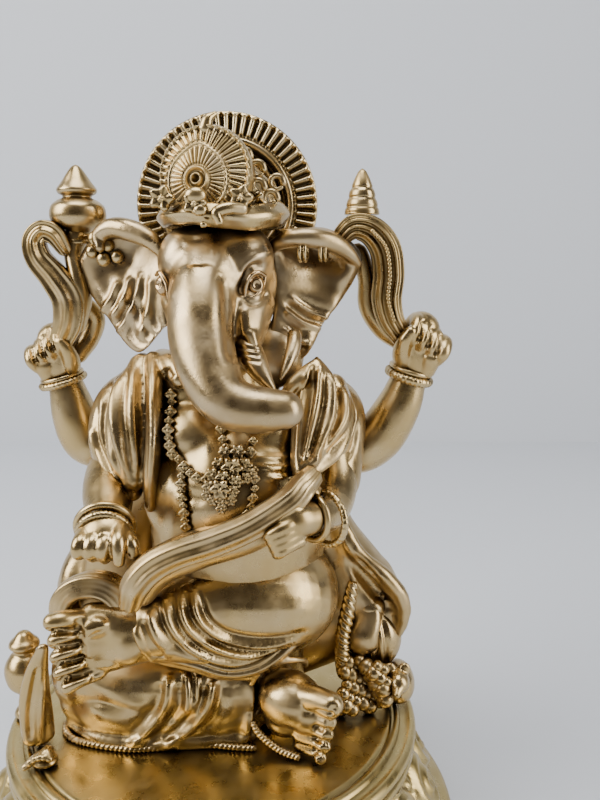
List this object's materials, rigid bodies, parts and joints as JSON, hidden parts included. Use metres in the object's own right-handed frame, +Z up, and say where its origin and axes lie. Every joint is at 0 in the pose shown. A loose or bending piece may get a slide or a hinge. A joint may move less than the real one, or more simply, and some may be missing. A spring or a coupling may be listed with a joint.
{
  "type": "ganesha idol",
  "caption": "Seated four-armed elephant-headed figure with halo, crown and scrolls in its rear hands, on a round flared base with a flat underside.",
  "frame": {"origin": "centre of the flat underside of the felt pad, on the axis of the round base", "axes": "+Z up, the figure faces -Y, +X is the figure's own left (right as seen from the front)"},
  "size_m": [0.124, 0.124, 0.18],
  "materials": {
    "gilt": "metallic champagne-gold lacquer on cast resin, dark brown in the recesses",
    "worn_gilt": "the same gold lacquer, slightly rubbed and brushed on the raised places",
    "cloth_gilt": "the same gold lacquer, smoother, on the cast drapery",
    "ornament_gilt": "the same gold lacquer on fine relief, with dark recesses",
    "base_gilt": "more saturated olive-yellow gold lacquer",
    "eye_gilt": "bright gold lacquer",
    "bare_resin": "bare cast resin, off-white",
    "felt": "dark green felt",
    "steel": "plain drawn steel rod"
  },
  "bodies": {
    "root": {"base_top": "base_gilt", "scroll_band": "base_gilt", "closing_plate": "bare_resin", "felt_pad": "felt", "torso": "gilt", "lower_leg": "gilt", "lower_foot": "gilt", "upper_leg": "gilt", "upper_foot": "gilt", "ankle_cuff": "cloth_gilt", "back_cape": "cloth_gilt", "dhoti_drape": "cloth_gilt", "dhoti_hem": "cloth_gilt", "right_shawl": "cloth_gilt", "left_shawl": "cloth_gilt", "sash": "cloth_gilt", "right_rear_arm": "gilt", "right_rear_fist": "gilt", "left_rear_arm": "gilt", "left_rear_fist": "gilt", "right_front_arm": "gilt", "right_front_hand": "gilt", "left_front_arm": "gilt", "left_front_hand": "gilt", "rear_bangles": "ornament_gilt", "right_front_bangles": "ornament_gilt", "left_front_bangle": "ornament_gilt", "necklace": "ornament_gilt", "pendant": "ornament_gilt", "bead_strands": "ornament_gilt", "head": "worn_gilt", "trunk": "worn_gilt", "tusk": "worn_gilt", "eyes": "eye_gilt", "right_ear": "worn_gilt", "left_ear": "worn_gilt", "ear_ornaments": "ornament_gilt", "crown_cap": "ornament_gilt", "brow_band": "ornament_gilt", "crown_plaque": "ornament_gilt", "crown_rosettes": "ornament_gilt", "halo": "ornament_gilt", "right_scroll": "gilt", "right_finial": "gilt", "left_scroll": "gilt", "left_finial": "gilt", "water_pot": "gilt", "leaf": "gilt", "shell_rosette": "gilt", "rope_garland": "gilt", "sack": "gilt", "sweets": "gilt", "mouse": "gilt", "halo_dowels": "steel", "neck_dowel": "steel", "seat_dowels": "steel", "finial_dowels": "steel"}
  },
  "joints": []
}
